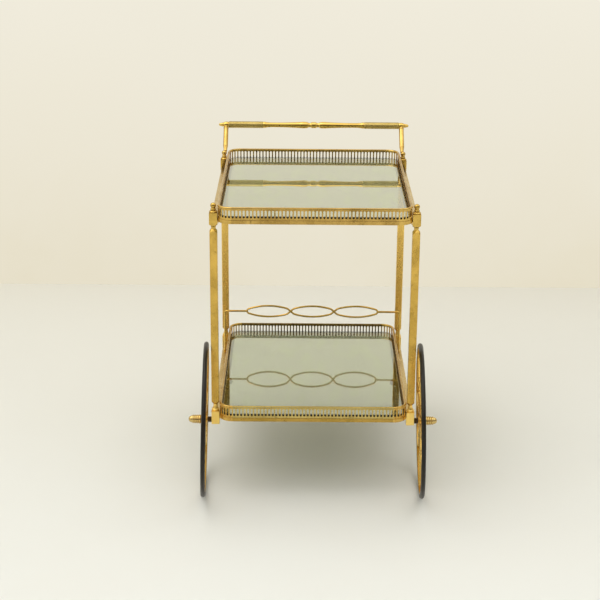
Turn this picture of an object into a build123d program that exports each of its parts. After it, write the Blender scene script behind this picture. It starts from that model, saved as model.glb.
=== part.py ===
from build123d import *
import os
from math import acos, cos, degrees, radians, sin, sqrt

os.makedirs("parts", exist_ok=True)

# Frame: +Z up, the origin on the floor under the middle of the whole cart.
# The two large wheels are at the -Y end, the handle is at the +Y end.
# All sizes are in millimetres.

# Legs: four square columns between turned blocks
leg_x = 216.0
leg_span = 474.0
column_width = 16.5
column_edge = 1.4
column_wall = 1.6
block_width = 17.7
block_edge = 0.7
round_off = 0.74
rod_radius = 2.5
rod_bore = 2.55
foot_column_bottom = 95.0
lower_block_bottom = 164.7
lower_block_top = 194.7
lower_waist = 210.5
upper_waist = 615.0
upper_block_bottom = 621.6
upper_block_top = 650.1
waist_radius = 4.7
shoulder_rise = 11.0
dome_top = 654.6
ball_centre = 665.3
ball_radius = 6.2

# Trays: two glass shelves in brass rails, with pierced galleries round them
tray_x = leg_x - block_width / 2
tray_y = 268.5
corner_radius = 30.0
upper_glass_top = 649.2
lower_glass_top = 197.2
glass_thickness = 5.0
glass_inset = 4.0
glass_bevel = 0.5
nosing_bottom = -16.0
nosing_top = -8.0
nosing_thickness = 2.0
flange_outer = 2.2
flange_inner = 3.7
flange_top = -3.8
web_bottom = -10.0
ledge_width = 14.0
ledge_thickness = 2.0
strip_outer = 1.0
strip_thickness = 1.2
rim_bottom = 14.3
rim_top = 20.3
rim_width = 5.4
rim_round = 2.4
slot_width = 4.7
slot_height = 17.0
slot_bottom = -3.4
slot_pitch = 7.7
corner_slots = 6
screw_radius = 1.9
screw_hole = 1.95
screw_head_radius = 2.8
screw_head_height = 2.2
screw_length = 6.6
screw_inset = 5.0
screw_drop = 13.0

# Side bars: flat bars from block to block, in line with the legs and under the trays' edges
bar_inner = 205.5
bar_outer = 222.0
bar_height = 10.0
bar_edge = 0.8

# Handle: a turned bar on two slanted arms behind the far legs
handle_behind = 55.0
handle_z = 722.7
arm_x = 213.5
arm_radius = 5.85
handle_half_length = 231.1
grip_inner = 123.0
grip_outer = 207.3
grip_radius = 8.15
grip_edge = 0.7
core_radius = 3.0
core_bore = 3.05
core_half_length = 217.0
knob_radius = 7.3
seat_offset = 4.8
tip_flat = 0.8

# Bottle rail: a wire with three oval loops above the lower tray
rail_from_middle = 160.5
rail_z = 287.0
rail_end_x = 214.0
rail_foot_depth = 5.0
wire_radius = 2.3
foot_wire_radius = 2.45
foot_hole = 2.48
rail_bend = 6.0
loop_half_length = 53.3
loop_half_height = 18.2
loop_arch_radius = 118.0
loop_tip_radius = 9.0
loop_lean = 25.0
crossing_angle = 50.0
crossing_radius = 12.0
ferrule_radius = 4.4
ferrule_height = 3.0

# Large wheels, which lean in a little at the top and at the front
wheel_radius = 172.5
wheel_x = 240.5
wheel_lean = 1.6
wheel_toe = 2.1
tyre_width = 10.0
tyre_inner_radius = 163.75
rim_outer_radius = 163.7
rim_inner_radius = 160.7
wheel_rim_width = 9.2
wheel_rim_round = 0.8
hub_half_length = 6.2
hub_end_radius = 9.0
hub_radius = 13.0
hub_edge = 0.8
axle_radius = 4.0
axle_fit = 4.05
hub_bore = 4.06
spoke_count = 8
spoke_radius = 2.7
spoke_end_radius = 3.6
spoke_bead_radius = 4.1
spoke_seat = 1.2
spacer_radius = 6.7
side_gap = 0.3
cap_radius = 10.2
cap_length = 29.4
cap_rings = 4
cap_ring_pitch = 4.7
cap_ring_depth = 1.6
axle_inner_depth = 12.0
axle_in_cap = 18.0

# Casters under the far legs
caster_wheel_radius = 30.0
caster_wheel_width = 11.6
caster_trail = 20.0
caster_pin_radius = 2.5
caster_bore = 2.56
stem_radius = 4.0
stem_bore = 4.06
stem_top = 108.0
socket_bottom = 73.0
socket_plug_top = 118.0
socket_radius = 8.7
fork_top = 72.6
fork_bell_radius = 16.0
fork_bell_height = 9.6
fork_thickness = 1.8
fork_inner_half = 6.4
pin_head_radius = 4.2
pin_head_height = 1.6

# Along the cart the legs' middle lies behind the middle of the whole, because the wheels reach further
axle_slope = sin(radians(wheel_toe)) * cos(radians(wheel_lean))
tread_centre = wheel_radius - tyre_width / 2
wheel_reach = leg_span / 2 + tread_centre * sqrt(1 - axle_slope ** 2) + tyre_width / 2
handle_reach = leg_span / 2 + handle_behind + grip_radius
middle_y = (wheel_reach - handle_reach) / 2
near_y = middle_y - leg_span / 2
far_y = middle_y + leg_span / 2
handle_y = far_y + handle_behind
rail_y = middle_y + rail_from_middle
rail_foot_z = lower_glass_top + nosing_bottom - rail_foot_depth

sides = {"left": -1, "right": 1}
ends = {"near": -1, "far": 1}


def save(piece, name):
    piece.part.label = name
    export_step(piece.part, f"parts/{name}.step")


def leg_line(sy):
    return middle_y + sy * leg_span / 2


def screw_line(sy):
    return leg_line(sy) - sy * screw_inset


def upright(x, y):
    """Plane through a leg axis: its x runs across the cart and its y is up."""
    return Plane(origin=(x, y, 0), x_dir=(1, 0, 0), z_dir=(0, -1, 0))


def axis_up(x, y):
    return Axis((x, y, 0), (0, 0, 1))


def grouped(pieces):
    """Separate equal pieces kept together under one name."""
    with BuildPart() as group:
        add(pieces)
    return group


# Columns

def column(x, y):
    """Square tube whose two ends are turned down to a round waist."""
    outer = column_width * round_off
    shoulder_out = outer * 0.69
    shoulder_up = shoulder_rise * 0.42
    inner = column_width - 2 * column_wall
    with BuildPart() as piece:
        with BuildSketch(Plane((x, y, lower_waist))):
            RectangleRounded(column_width, column_width, column_edge)
        extrude(amount=upper_waist - lower_waist)
        with BuildSketch(upright(x, y)):
            with BuildLine():
                low = ThreePointArc(
                    (waist_radius, lower_waist),
                    (shoulder_out, lower_waist + shoulder_up),
                    (outer, lower_waist + shoulder_rise),
                )
                side = Line(low @ 1, (outer, upper_waist - shoulder_rise))
                high = ThreePointArc(
                    side @ 1,
                    (shoulder_out, upper_waist - shoulder_up),
                    (waist_radius, upper_waist),
                )
                Polyline(high @ 1, (0, upper_waist), (0, lower_waist), low @ 0)
            make_face()
        revolve(axis=axis_up(x, y), mode=Mode.INTERSECT)
        with BuildSketch(Plane((x, y, lower_waist + shoulder_rise))):
            RectangleRounded(inner, inner, column_edge)
        extrude(amount=upper_waist - lower_waist - 2 * shoulder_rise, mode=Mode.SUBTRACT)
        with BuildSketch(Plane((x, y, lower_waist))):
            Circle(rod_bore)
        extrude(amount=upper_waist - lower_waist, mode=Mode.SUBTRACT)
    return piece


# Blocks at the top of the legs

def screw_pocket(sx, sy, glass_top):
    """Plane on the inner face of a block where a tray screw enters it."""
    place = (sx * (leg_x - block_width / 2), screw_line(sy), glass_top - screw_drop)
    return Plane(place, z_dir=(sx, 0, 0))


screw_depth = screw_length - nosing_thickness + 0.3


def upper_block(sx, sy):
    """Square block with a turned cup below and a rounded disc above."""
    x = sx * leg_x
    y = leg_line(sy)
    outer = block_width * round_off
    shoulder_out = outer * 0.74
    shoulder_up = 1.6
    shoulder_end = 6.0
    cup_radius = 5.5
    cup_bottom = 617.0
    disc_radius = 8.8
    disc_foot = 8.0
    disc_widest = upper_block_top + 1.7
    disc_edge = upper_block_top + 2.9
    dome_end = 5.2
    with BuildPart() as piece:
        with BuildSketch(Plane((x, y, upper_block_bottom))):
            RectangleRounded(block_width, block_width, block_edge)
        extrude(amount=upper_block_top - upper_block_bottom)
        with BuildSketch(upright(x, y)):
            with BuildLine():
                shoulder = ThreePointArc(
                    (cup_radius, upper_block_bottom),
                    (shoulder_out, upper_block_bottom + shoulder_up),
                    (outer, upper_block_bottom + shoulder_end),
                )
                Polyline(
                    shoulder @ 1, (outer, upper_block_top), (0, upper_block_top),
                    (0, upper_block_bottom), shoulder @ 0,
                )
            make_face()
        revolve(axis=axis_up(x, y), mode=Mode.INTERSECT)
        with BuildSketch(upright(x, y)):
            with BuildLine():
                cup = ThreePointArc(
                    (cup_radius - 0.3, upper_block_bottom),
                    (cup_radius + 0.1, (upper_block_bottom + cup_bottom) / 2),
                    (cup_radius - 0.5, cup_bottom),
                )
                Polyline(
                    cup @ 1, (waist_radius, upper_waist), (0, upper_waist),
                    (0, upper_block_bottom), cup @ 0,
                )
            make_face()
            with BuildLine():
                foot = Line((disc_foot, upper_block_top), (disc_foot, upper_block_top + 0.5))
                disc = ThreePointArc(foot @ 1, (disc_radius, disc_widest), (disc_foot + 0.2, disc_edge))
                dome = ThreePointArc(disc @ 1, (7.0, dome_top - 0.5), (dome_end, dome_top))
                Polyline(dome @ 1, (0, dome_top), (0, upper_block_top), foot @ 0)
            make_face()
        revolve(axis=axis_up(x, y))
        with BuildSketch(Plane((x, y, upper_waist))):
            Circle(rod_bore)
        extrude(amount=dome_top - upper_waist, mode=Mode.SUBTRACT)
        with BuildSketch(screw_pocket(sx, sy, upper_glass_top)):
            Circle(screw_hole)
        extrude(amount=screw_depth, mode=Mode.SUBTRACT)
    return piece


# Blocks at the bottom of the legs

def lower_block(sx, sy):
    """Square block with a turned disc and a flared neck above."""
    x = sx * leg_x
    y = leg_line(sy)
    disc_radius = 8.5
    disc_foot = 7.3
    disc_start = lower_block_top + 1.0
    disc_top = lower_block_top + 5.4
    flare_radius = 6.5
    rod_clear = 19.0
    rod_start = lower_block_bottom + (rod_clear if sy < 0 else 0.0)
    with BuildPart() as piece:
        with BuildSketch(Plane((x, y, lower_block_bottom))):
            RectangleRounded(block_width, block_width, block_edge)
        extrude(amount=lower_block_top - lower_block_bottom)
        with BuildSketch(upright(x, y)):
            with BuildLine():
                foot = Line((disc_foot, lower_block_top), (disc_foot, disc_start))
                disc = ThreePointArc(
                    foot @ 1, (disc_radius, (disc_start + disc_top) / 2), (disc_foot, disc_top)
                )
                step = Line(disc @ 1, (flare_radius, disc_top))
                flare = ThreePointArc(
                    step @ 1, (waist_radius + 0.5, disc_top + 4.0), (waist_radius, lower_waist)
                )
                Polyline(flare @ 1, (0, lower_waist), (0, lower_block_top), foot @ 0)
            make_face()
        revolve(axis=axis_up(x, y))
        with BuildSketch(Plane((x, y, rod_start))):
            Circle(rod_bore)
        extrude(amount=lower_waist - rod_start, mode=Mode.SUBTRACT)
        with BuildSketch(screw_pocket(sx, sy, lower_glass_top)):
            Circle(screw_hole)
        extrude(amount=screw_depth, mode=Mode.SUBTRACT)
        if sy < 0:
            with BuildSketch(wheel_plane(sx).offset(-axle_reach)):
                Circle(axle_radius)
            extrude(amount=axle_inner_depth + block_width / 3, mode=Mode.SUBTRACT)
    return piece


# Frame of a large wheel: its plane's z is the axle, pointing out of the cart

axle_reach = wheel_x - leg_x - block_width / 2 + axle_inner_depth


def wheel_plane(sx):
    lean = radians(wheel_lean)
    toe = radians(wheel_toe)
    height = tread_centre * cos(lean) + tyre_width / 2
    axle = (sx * cos(toe) * cos(lean), -sin(toe) * cos(lean), sin(lean))
    return Plane(origin=(sx * wheel_x, near_y, height), x_dir=(0, 1, 0), z_dir=axle)


def section_plane(wheel, turn=0.0):
    """Plane through the axle: x is a radius of the wheel and y is the axle."""
    angle = radians(turn)
    radius = wheel.x_dir * cos(angle) + wheel.y_dir * sin(angle)
    return Plane(origin=wheel.origin, x_dir=radius, z_dir=radius.cross(wheel.z_dir))


for end, sy in ends.items():
    for side, sx in sides.items():
        save(column(sx * leg_x, leg_line(sy)), f"column_{end}_{side}")
        save(upper_block(sx, sy), f"upper_block_{end}_{side}")
        save(lower_block(sx, sy), f"lower_block_{end}_{side}")


# Rods inside the legs, which draw every stack of pieces together

rod_in_ball = 2.0
near_rod_start = lower_block_bottom + 20.0
far_rod_start = socket_plug_top - 6.0

with BuildPart() as tie_rods:
    for sx in sides.values():
        for sy in ends.values():
            start = near_rod_start if sy < 0 else far_rod_start
            with BuildSketch(Plane((sx * leg_x, leg_line(sy), start))):
                Circle(rod_radius)
            extrude(amount=ball_centre - rod_in_ball - start)
save(tie_rods, "tie_rods")


# Short square columns that carry the far legs down to the casters

with BuildPart() as foot_columns:
    for sx in sides.values():
        with BuildSketch(Plane((sx * leg_x, far_y, foot_column_bottom))):
            RectangleRounded(column_width, column_width, column_edge)
            inner = column_width - 2 * column_wall
            RectangleRounded(inner, inner, column_edge, mode=Mode.SUBTRACT)
        extrude(amount=lower_block_bottom - foot_column_bottom)
save(foot_columns, "far_foot_columns")


# Ball finials on the near legs

ring_widest = 656.6
ring_top = 659.4
ring_radius = 5.9
ring_foot = 5.0
neck_radius = 4.5


def turned_finial(x, y):
    """Ring, neck and ball on the dome of a leg."""
    with BuildPart() as piece:
        with BuildSketch(upright(x, y)):
            with BuildLine():
                foot = Line((ring_foot, dome_top), (ring_foot, dome_top + 0.3))
                ring = ThreePointArc(foot @ 1, (ring_radius, ring_widest), (neck_radius, ring_top))
                Polyline(ring @ 1, (neck_radius, ball_centre), (0, ball_centre), (0, dome_top), foot @ 0)
            make_face()
            with BuildLine():
                ball = CenterArc((0, ball_centre), ball_radius, -90, 180)
                Line(ball @ 0, ball @ 1)
            make_face()
        revolve(axis=axis_up(x, y))
        with BuildSketch(Plane((x, y, dome_top))):
            Circle(rod_bore)
        extrude(amount=ball_centre - rod_in_ball - dome_top, mode=Mode.SUBTRACT)
    return piece.part


near_finials = grouped([turned_finial(sx * leg_x, near_y) for sx in sides.values()])
save(near_finials, "near_finials")


# Trays. A section is drawn with x measured in from the outer face and y from the glass.

# The rail is a brass angle: an outer nosing, a flange round the glass edge, and a ledge and a web under it

under = -glass_thickness
with BuildSketch() as rail_section:
    with BuildLine():
        Polyline(
            (0, nosing_bottom), (0, nosing_top), (flange_outer, nosing_top), (flange_outer, flange_top),
            (flange_inner, flange_top), (flange_inner, under), (ledge_width, under),
            (ledge_width, under - ledge_thickness), (flange_inner, under - ledge_thickness),
            (flange_inner, web_bottom), (nosing_thickness, web_bottom),
            (nosing_thickness, nosing_bottom), close=True,
        )
    make_face()

# The gallery is a thin upright strip under a rounded cap rail

strip_top = rim_top - 1.0
with BuildSketch() as gallery_section:
    with Locations((strip_outer + strip_thickness / 2, (nosing_top + strip_top) / 2)):
        Rectangle(strip_thickness, strip_top - nosing_top)
    with Locations((rim_width / 2, (rim_bottom + rim_top) / 2)):
        RectangleRounded(rim_width, rim_top - rim_bottom, rim_round)


def across_plane(sy, glass_top):
    """Section plane of an end rail: it looks along X, and x runs in from the outer face."""
    return Plane(origin=(0, middle_y + sy * tray_y, glass_top), x_dir=(0, -sy, 0), z_dir=(-sy, 0, 0))


def along_plane(sx, glass_top):
    """Section plane of a side rail: it looks along Y, and x runs in from the outer face."""
    return Plane(origin=(sx * tray_x, middle_y, glass_top), x_dir=(-sx, 0, 0), z_dir=(0, sx, 0))


def end_rails(glass_top):
    with BuildPart() as piece:
        for sy in ends.values():
            with BuildSketch(across_plane(sy, glass_top)):
                add(rail_section.sketch)
            extrude(amount=tray_x - corner_radius, both=True)
    return piece


def side_rails(glass_top):
    """Rails along both sides, with holes for the screws into the blocks."""
    with BuildPart() as piece:
        for sx in sides.values():
            with BuildSketch(along_plane(sx, glass_top)):
                add(rail_section.sketch)
            extrude(amount=tray_y - corner_radius, both=True)
            for y in screw_lines:
                with BuildSketch(Plane((0, y, glass_top - screw_drop), z_dir=(sx, 0, 0))):
                    Circle(screw_hole)
                extrude(amount=tray_x + 1, mode=Mode.SUBTRACT)
    return piece


slot_middle = slot_bottom + slot_height / 2


def gallery(plane, normal, half_length):
    """One straight run of gallery: pierced strip with its cap rail."""
    with BuildPart() as piece:
        with BuildSketch(plane):
            add(gallery_section.sketch)
        extrude(amount=half_length, both=True)
        count = int(2 * half_length // slot_pitch)
        place = plane.origin + Vector(0, 0, slot_middle)
        with BuildSketch(Plane(place, x_dir=normal.cross(Vector(0, 0, 1)), z_dir=normal)):
            with GridLocations(2 * half_length / count, 1, count, 1):
                SlotOverall(slot_height, slot_width, rotation=90)
        extrude(amount=-rim_width, mode=Mode.SUBTRACT)
    return piece


def corner(sx, sy, glass_top):
    """Cast quarter round that joins an end run to a side run."""
    across = sx * (tray_x - corner_radius)
    along = middle_y + sy * (tray_y - corner_radius)
    centre = Vector(across, along, glass_top)
    start = Plane(
        origin=centre + Vector(sx * corner_radius, 0, 0), x_dir=(-sx, 0, 0), z_dir=(0, sx, 0)
    )
    step = 90.0 / corner_slots
    with BuildPart() as piece:
        with BuildSketch(start):
            add(rail_section.sketch)
            add(gallery_section.sketch)
        revolve(axis=Axis(centre, (0, 0, sx * sy)), revolution_arc=90)
        for k in range(corner_slots):
            angle = radians(step * (k + 0.5))
            outward = Vector(sx * cos(angle), sy * sin(angle), 0)
            place = centre + outward * (corner_radius - rim_width) + Vector(0, 0, slot_middle)
            with BuildSketch(Plane(place, x_dir=outward.cross(Vector(0, 0, 1)), z_dir=outward)):
                SlotOverall(slot_height, slot_width, rotation=90)
            extrude(amount=2 * rim_width, mode=Mode.SUBTRACT)
    return piece.part


def corners(glass_top):
    return grouped([corner(sx, sy, glass_top) for sx in sides.values() for sy in ends.values()])


def glass(glass_top):
    half_x = tray_x - glass_inset
    half_y = tray_y - glass_inset
    with BuildPart() as piece:
        with BuildSketch(Plane((0, middle_y, glass_top - glass_thickness))):
            RectangleRounded(2 * half_x, 2 * half_y, corner_radius - glass_inset)
        extrude(amount=glass_thickness)
        by_height = piece.faces().sort_by(Axis.Z)
        chamfer(by_height[-1].edges() + by_height[0].edges(), glass_bevel)
    return piece


screw_lines = [screw_line(sy) for sy in ends.values()]

for level, glass_top in {"upper": upper_glass_top, "lower": lower_glass_top}.items():
    save(end_rails(glass_top), f"{level}_end_rails")
    save(side_rails(glass_top), f"{level}_side_rails")
    for end, sy in ends.items():
        run = gallery(across_plane(sy, glass_top), Vector(0, sy, 0), tray_x - corner_radius)
        save(run, f"{level}_{end}_gallery")
    for side, sx in sides.items():
        run = gallery(along_plane(sx, glass_top), Vector(sx, 0, 0), tray_y - corner_radius)
        save(run, f"{level}_{side}_gallery")
    save(corners(glass_top), f"{level}_corners")
    save(glass(glass_top), f"{level}_glass")


# Screws that hold the trays to the blocks of the legs

with BuildPart() as tray_screws:
    for glass_top in (upper_glass_top, lower_glass_top):
        for sx in sides.values():
            for y in screw_lines:
                place = (sx * (tray_x - nosing_thickness), y, glass_top - screw_drop)
                seat = Plane(place, z_dir=(sx, 0, 0))
                with BuildSketch(seat):
                    Circle(screw_radius)
                extrude(amount=screw_length)
                with BuildSketch(seat):
                    Circle(screw_head_radius)
                extrude(amount=-screw_head_height)
save(tray_screws, "tray_screws")


# Bars along the sides of both trays; the lower ones hold the feet of the bottle rail

with BuildPart() as side_bars:
    for glass_top in (upper_glass_top, lower_glass_top):
        bar_middle_z = glass_top + nosing_bottom - bar_height / 2
        for sx in sides.values():
            with BuildSketch(upright(sx * (bar_inner + bar_outer) / 2, middle_y)):
                with Locations((0, bar_middle_z)):
                    RectangleRounded(bar_outer - bar_inner, bar_height, bar_edge)
            extrude(amount=(leg_span - block_width) / 2, both=True)
    for sx in sides.values():
        with BuildSketch(Plane((sx * rail_end_x, rail_y, rail_foot_z))):
            Circle(foot_hole)
        extrude(amount=rail_foot_depth, mode=Mode.SUBTRACT)
save(side_bars, "side_bars")


# Handle

arm_rise = Vector(0, handle_behind, handle_z - ball_centre)
arm_direction = arm_rise.normalized()
arm_top = arm_rise.length - knob_radius + 1.2


def arm_frame(sx):
    """Plane at the ball of a far leg whose z runs up the slanted arm."""
    return Plane(origin=(sx * arm_x, far_y, ball_centre), x_dir=(1, 0, 0), z_dir=arm_direction)


def handle_arm(sx):
    foot_radius = 4.2
    foot_length = 2.0
    flare_end = 19.0
    collar_start = arm_top - 5.0
    collar_end = arm_top - 2.2
    neck = arm_radius - 0.9
    frame = arm_frame(sx)
    profile = Plane(origin=frame.origin, x_dir=frame.x_dir, z_dir=frame.x_dir.cross(frame.z_dir))
    with BuildPart() as piece:
        with BuildSketch(profile):
            with BuildLine():
                foot = Line((foot_radius, seat_offset), (foot_radius, seat_offset + foot_length))
                flare = ThreePointArc(foot @ 1, (foot_radius + 0.5, 12.0), (arm_radius, flare_end))
                side = Line(flare @ 1, (arm_radius, collar_start))
                collar = ThreePointArc(side @ 1, (arm_radius + 0.5, arm_top - 3.5), (neck, collar_end))
                Polyline(collar @ 1, (neck, arm_top), (0, arm_top), (0, seat_offset), foot @ 0)
            make_face()
        revolve(axis=Axis(frame.origin, arm_direction))
    return piece.part


save(grouped([handle_arm(sx) for sx in sides.values()]), "handle_arms")

with BuildPart() as handle_sockets:
    add([turned_finial(sx * leg_x, far_y) for sx in sides.values()])
    for sx in sides.values():
        with BuildSketch(arm_frame(sx).offset(seat_offset)):
            Circle(3 * ball_radius)
        extrude(amount=2 * ball_radius, mode=Mode.SUBTRACT)
save(handle_sockets, "handle_sockets")


def handle_profile_plane(sx):
    """Plane through the handle's axis: x runs out from the middle and y is a radius."""
    return Plane(origin=(0, handle_y, handle_z), x_dir=(sx, 0, 0), z_dir=(0, -sx, 0))


handle_axis = Axis((0, handle_y, handle_z), (1, 0, 0))
bulge_start = 6.4
bulge_end = 5.6
bulge_length = 12.4
tip_groove = 4.5
tip_base = 5.0
tip_end = 3.3

with BuildPart() as handle_end_knobs:
    for sx in sides.values():
        with BuildSketch(handle_profile_plane(sx)):
            with BuildLine():
                bulge = ThreePointArc(
                    (grip_outer, bulge_start),
                    (grip_outer + bulge_length / 2, knob_radius),
                    (grip_outer + bulge_length, bulge_end),
                )
                groove_at = grip_outer + bulge_length + 0.7
                groove = Polyline(
                    bulge @ 1, (groove_at, tip_groove), (groove_at + 0.9, tip_groove),
                    (groove_at + 1.5, tip_base),
                )
                cone = Line(groove @ 1, (handle_half_length - 2.2, tip_end))
                tip = ThreePointArc(
                    cone @ 1,
                    (handle_half_length - 0.6, tip_end * 0.68),
                    (handle_half_length, tip_flat),
                )
                Polyline(tip @ 1, (handle_half_length, 0), (grip_outer, 0), bulge @ 0)
            make_face()
        revolve(axis=handle_axis)
        with BuildSketch(Plane((sx * grip_outer, handle_y, handle_z), z_dir=(sx, 0, 0))):
            Circle(core_bore)
        extrude(amount=core_half_length + 0.2 - grip_outer, mode=Mode.SUBTRACT)
        with BuildSketch(arm_frame(sx)):
            Circle(arm_radius + 1.5)
        extrude(amount=arm_top, mode=Mode.SUBTRACT)
save(handle_end_knobs, "handle_end_knobs")

with BuildPart() as handle_grips:
    for sx in sides.values():
        with BuildSketch(Plane((sx * grip_inner, handle_y, handle_z), z_dir=(sx, 0, 0))):
            Circle(grip_radius)
            Circle(core_bore, mode=Mode.SUBTRACT)
        extrude(amount=grip_outer - grip_inner)
    circles = handle_grips.edges().filter_by(GeomType.CIRCLE)
    chamfer(circles.filter_by(lambda edge: edge.radius > 2 * core_radius), grip_edge)
save(handle_grips, "handle_grips")

# Profile of the turned middle: distance from the centre and radius at every turning point
middle_radius = 7.4
middle_flat = 5.0
groove_low, groove_end = (11.0, 5.6), (15.0, 7.3)
swell_high, swell_end = (21.0, 8.0), (32.0, 7.7)
slope_half, slope_end = (62.0, 6.4), (100.0, 5.9)
rise_half, rise_end = (110.0, 6.2), (116.0, 6.9)
bead_high, bead_end = (119.5, 7.6), (grip_inner, 7.2)

with BuildPart() as handle_centre:
    for sx in sides.values():
        with BuildSketch(handle_profile_plane(sx)):
            with BuildLine():
                last = Line((0, middle_radius), (middle_flat, middle_radius))
                last = ThreePointArc(last @ 1, groove_low, groove_end)
                last = ThreePointArc(last @ 1, swell_high, swell_end)
                last = ThreePointArc(last @ 1, slope_half, slope_end)
                last = ThreePointArc(last @ 1, rise_half, rise_end)
                last = ThreePointArc(last @ 1, bead_high, bead_end)
                Polyline(last @ 1, (grip_inner, 0), (0, 0), (0, middle_radius))
            make_face()
        revolve(axis=handle_axis)
    with BuildSketch(Plane((-grip_inner, handle_y, handle_z), z_dir=(1, 0, 0))):
        Circle(core_bore)
    extrude(amount=2 * grip_inner, mode=Mode.SUBTRACT)
save(handle_centre, "handle_centre")

with BuildPart() as handle_core:
    with BuildSketch(Plane((-core_half_length, handle_y, handle_z), z_dir=(1, 0, 0))):
        Circle(core_radius)
    extrude(amount=2 * core_half_length)
save(handle_core, "handle_core")


# Bottle rail: two strands that cross between the loops, and a bent foot at each end

loop_plane = Plane(
    origin=(0, rail_y, rail_z),
    x_dir=(1, 0, 0),
    z_dir=(0, -cos(radians(loop_lean)), -sin(radians(loop_lean))),
)
rail_half_length = 3 * loop_half_length


def crossing():
    """Angle where an arch ends, and the straight length from there to the crossing."""
    slope = radians(crossing_angle)
    rise = loop_arch_radius - loop_half_height
    reach = loop_half_length * sin(slope) + rise * cos(slope) - crossing_radius
    arch_end = slope - acos(reach / (loop_arch_radius - crossing_radius))
    run = loop_half_length - (loop_arch_radius - crossing_radius) * sin(arch_end)
    straight = (run - crossing_radius * sin(slope)) / cos(slope)
    return degrees(arch_end), straight


def tip_angle():
    """Angle where an arch meets the tighter arc at the tip of an outer loop."""
    rise = loop_arch_radius - loop_half_height
    reach = loop_half_length - loop_tip_radius
    return degrees(acos(rise / sqrt(rise ** 2 + reach ** 2)))


def strand(up):
    """Path of one strand; up is 1 when it starts over the first loop, else -1."""
    arch_end, straight = crossing()
    bend = crossing_angle - arch_end
    tip = tip_angle()
    tip_arch = (loop_half_length - loop_tip_radius) / sin(radians(tip)) + loop_tip_radius
    with BuildLine(loop_plane) as path:
        last = JernArc((-rail_half_length, 0), (0, up), loop_tip_radius, -up * (90 - tip))
        last = JernArc(last @ 1, last % 1, tip_arch, -up * tip)
        last = JernArc(last @ 1, last % 1, loop_arch_radius, -up * arch_end)
        for loop in (-up, up):
            last = JernArc(last @ 1, last % 1, crossing_radius, loop * bend)
            last = Line(last @ 1, (last @ 1) + (last % 1) * (2 * straight))
            last = JernArc(last @ 1, last % 1, crossing_radius, -loop * bend)
            size = arch_end if loop == up else 2 * arch_end
            last = JernArc(last @ 1, last % 1, loop_arch_radius, -loop * size)
        last = JernArc(last @ 1, last % 1, tip_arch, -up * tip)
        last = JernArc(last @ 1, last % 1, loop_tip_radius, -up * (90 - tip))
    return path


with BuildPart() as bottle_rail:
    for up in (1, -1):
        path = strand(up)
        with BuildSketch(Plane(path.line @ 0, z_dir=path.line % 0)):
            Circle(wire_radius)
        sweep(path=path.line)
    for sx in sides.values():
        with BuildLine(upright(0, rail_y)) as foot:
            FilletPolyline(
                (sx * rail_end_x, rail_foot_z), (sx * rail_end_x, rail_z),
                (sx * rail_half_length, rail_z), radius=rail_bend,
            )
        with BuildSketch(Plane((sx * rail_end_x, rail_y, rail_foot_z))):
            Circle(foot_wire_radius)
        sweep(path=foot.line)
save(bottle_rail, "bottle_rail")

with BuildPart() as rail_ferrules:
    for sx in sides.values():
        with BuildSketch(Plane((sx * rail_end_x, rail_y, rail_foot_z + rail_foot_depth))):
            Circle(ferrule_radius)
            Circle(foot_hole, mode=Mode.SUBTRACT)
        extrude(amount=ferrule_height)
save(rail_ferrules, "rail_ferrules")


# Large wheels and the stub axles that carry them

def ring_cap(wheel):
    """Domed nut on the end of an axle, turned into a stack of rounded rings."""
    start = hub_half_length + side_gap
    end = start + cap_length
    flange_radius = cap_radius + 0.4
    flange_end = start + 2.0
    taper = 0.28
    with BuildPart() as piece:
        with BuildSketch(section_plane(wheel)):
            with BuildLine():
                flange = Polyline((0, start), (flange_radius, start), (flange_radius, flange_end))
                low = flange_end + 0.6
                last = Line(flange @ 1, (cap_radius - cap_ring_depth, low))
                for ring in range(cap_rings):
                    crest = cap_radius - taper * ring
                    last = ThreePointArc(
                        last @ 1,
                        (crest, low + cap_ring_pitch / 2),
                        (crest - cap_ring_depth, low + cap_ring_pitch),
                    )
                    low += cap_ring_pitch
                dome = ThreePointArc(last @ 1, (5.6, end - 2.4), (tip_flat, end))
                Polyline(dome @ 1, (0, end), (0, start))
            make_face()
        revolve(axis=Axis(wheel.origin, wheel.z_dir))
        with BuildSketch(wheel.offset(start)):
            Circle(axle_fit)
        extrude(amount=axle_in_cap, mode=Mode.SUBTRACT)
    return piece.part


def ribbed_spacer(wheel):
    """Dark ribbed collar between a leg's block and its wheel."""
    start = axle_inner_depth - axle_reach + 0.5
    stop = -hub_half_length - side_gap
    ribs = 4
    rib_depth = 0.8
    pitch = (stop - start) / ribs
    with BuildPart() as piece:
        with BuildSketch(section_plane(wheel)):
            with BuildLine():
                last = Polyline((axle_fit, stop), (axle_fit, start), (spacer_radius, start))
                for rib in range(ribs):
                    low = start + rib * pitch
                    last = Line(last @ 1, (spacer_radius - rib_depth, low + pitch / 2))
                    last = Line(last @ 1, (spacer_radius, low + pitch))
                Line(last @ 1, (axle_fit, stop))
            make_face()
        revolve(axis=Axis(wheel.origin, wheel.z_dir))
    return piece.part


def stub_axle(wheel):
    with BuildPart() as piece:
        with BuildSketch(wheel.offset(-axle_reach)):
            Circle(axle_radius)
        extrude(amount=axle_reach + hub_half_length + side_gap + axle_in_cap - 0.5)
    return piece


def wheel_hub(wheel):
    band_half = 3.7
    band_edge = 4.5
    shoulder = 4.9
    with BuildPart() as piece:
        with BuildSketch(section_plane(wheel)):
            with BuildLine():
                Polyline(
                    (hub_bore, 0), (hub_bore, hub_half_length), (hub_end_radius - hub_edge, hub_half_length),
                    (hub_end_radius, hub_half_length - hub_edge), (hub_end_radius, shoulder),
                    (hub_radius - 1.0, band_edge), (hub_radius, band_half), (hub_radius, 0), close=True,
                )
            make_face()
            mirror(about=Plane.XZ)
        revolve(axis=Axis(wheel.origin, wheel.z_dir))
    return piece


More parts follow.
